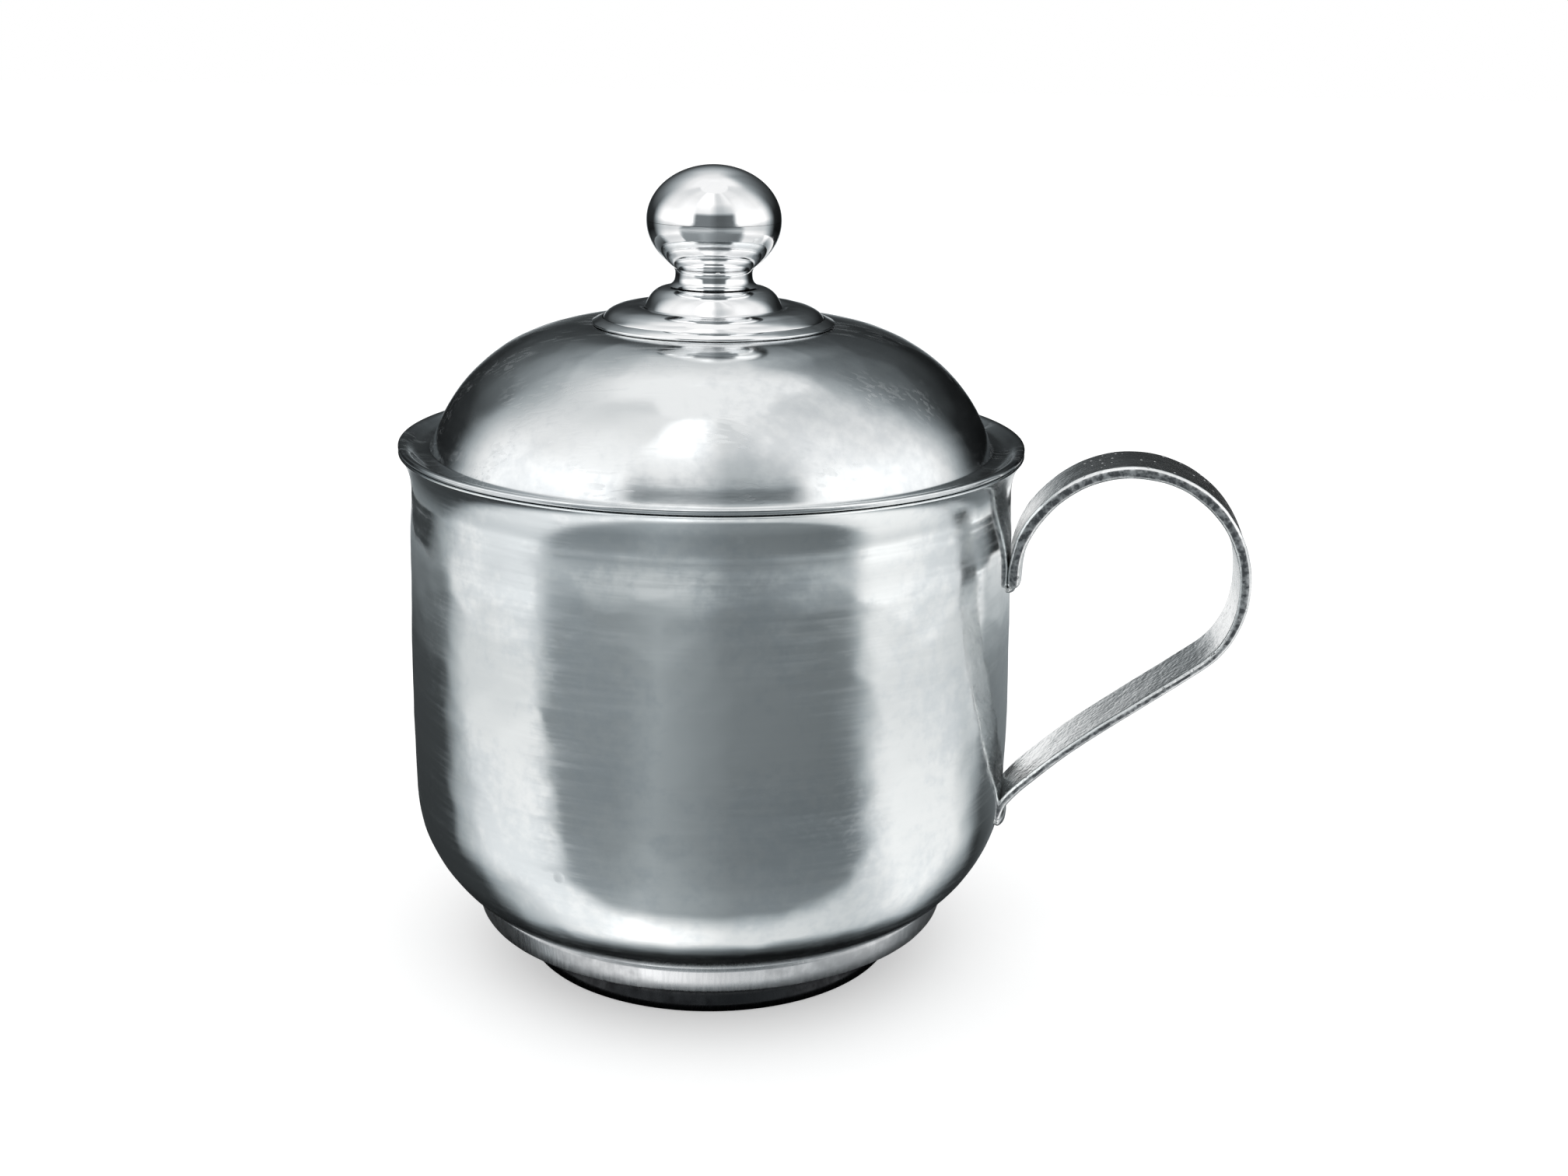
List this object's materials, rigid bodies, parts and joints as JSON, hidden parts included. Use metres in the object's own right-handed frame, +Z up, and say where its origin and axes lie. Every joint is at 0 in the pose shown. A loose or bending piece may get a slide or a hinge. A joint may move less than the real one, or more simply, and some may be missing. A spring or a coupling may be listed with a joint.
{
  "type": "handled cup",
  "caption": "Covered silver cup: bellied round bowl on a girdle and foot ring, S-curved strap handle, loose flanged dome cover with stepped rings and a ball finial.",
  "frame": {"origin": "middle of the overall box on the plane the foot ring stands on; the bowl's axis is 16.3 mm to the -X side of it", "axes": "+Z up along the cup's axis, +X from the bowl toward the handle"},
  "size_m": [0.1226, 0.09, 0.1165],
  "materials": {
    "polished_silver": "hand-polished silver, softly planished, fine scratches",
    "finial_silver": "bright polished silver",
    "foot_silver": "silver left from the file, brushed upright, darkened in the recess",
    "strap_silver": "polished silver with bright arrises and small pits",
    "silver_solder": "dull solder, smoothed by hand"
  },
  "bodies": {
    "cup": {"cup_bowl": "polished_silver", "foot_girdle": "foot_silver", "foot_ring": "foot_silver", "handle_strap": "strap_silver", "handle_upper_solder": "silver_solder", "handle_lower_solder": "silver_solder"},
    "cover": {"cover_dome": "polished_silver", "cover_bezel": "polished_silver", "step_seat_ring": "finial_silver", "lower_step": "polished_silver", "upper_step": "polished_silver", "finial_neck": "finial_silver", "finial_lower_half": "finial_silver", "finial_upper_half": "finial_silver"}
  },
  "joints": [
    {"name": "cover_lift", "type": "slide", "parent": "cup", "child": "cover", "axis": [0, 0, 1], "range_m": [0, 0.06]}
  ]
}
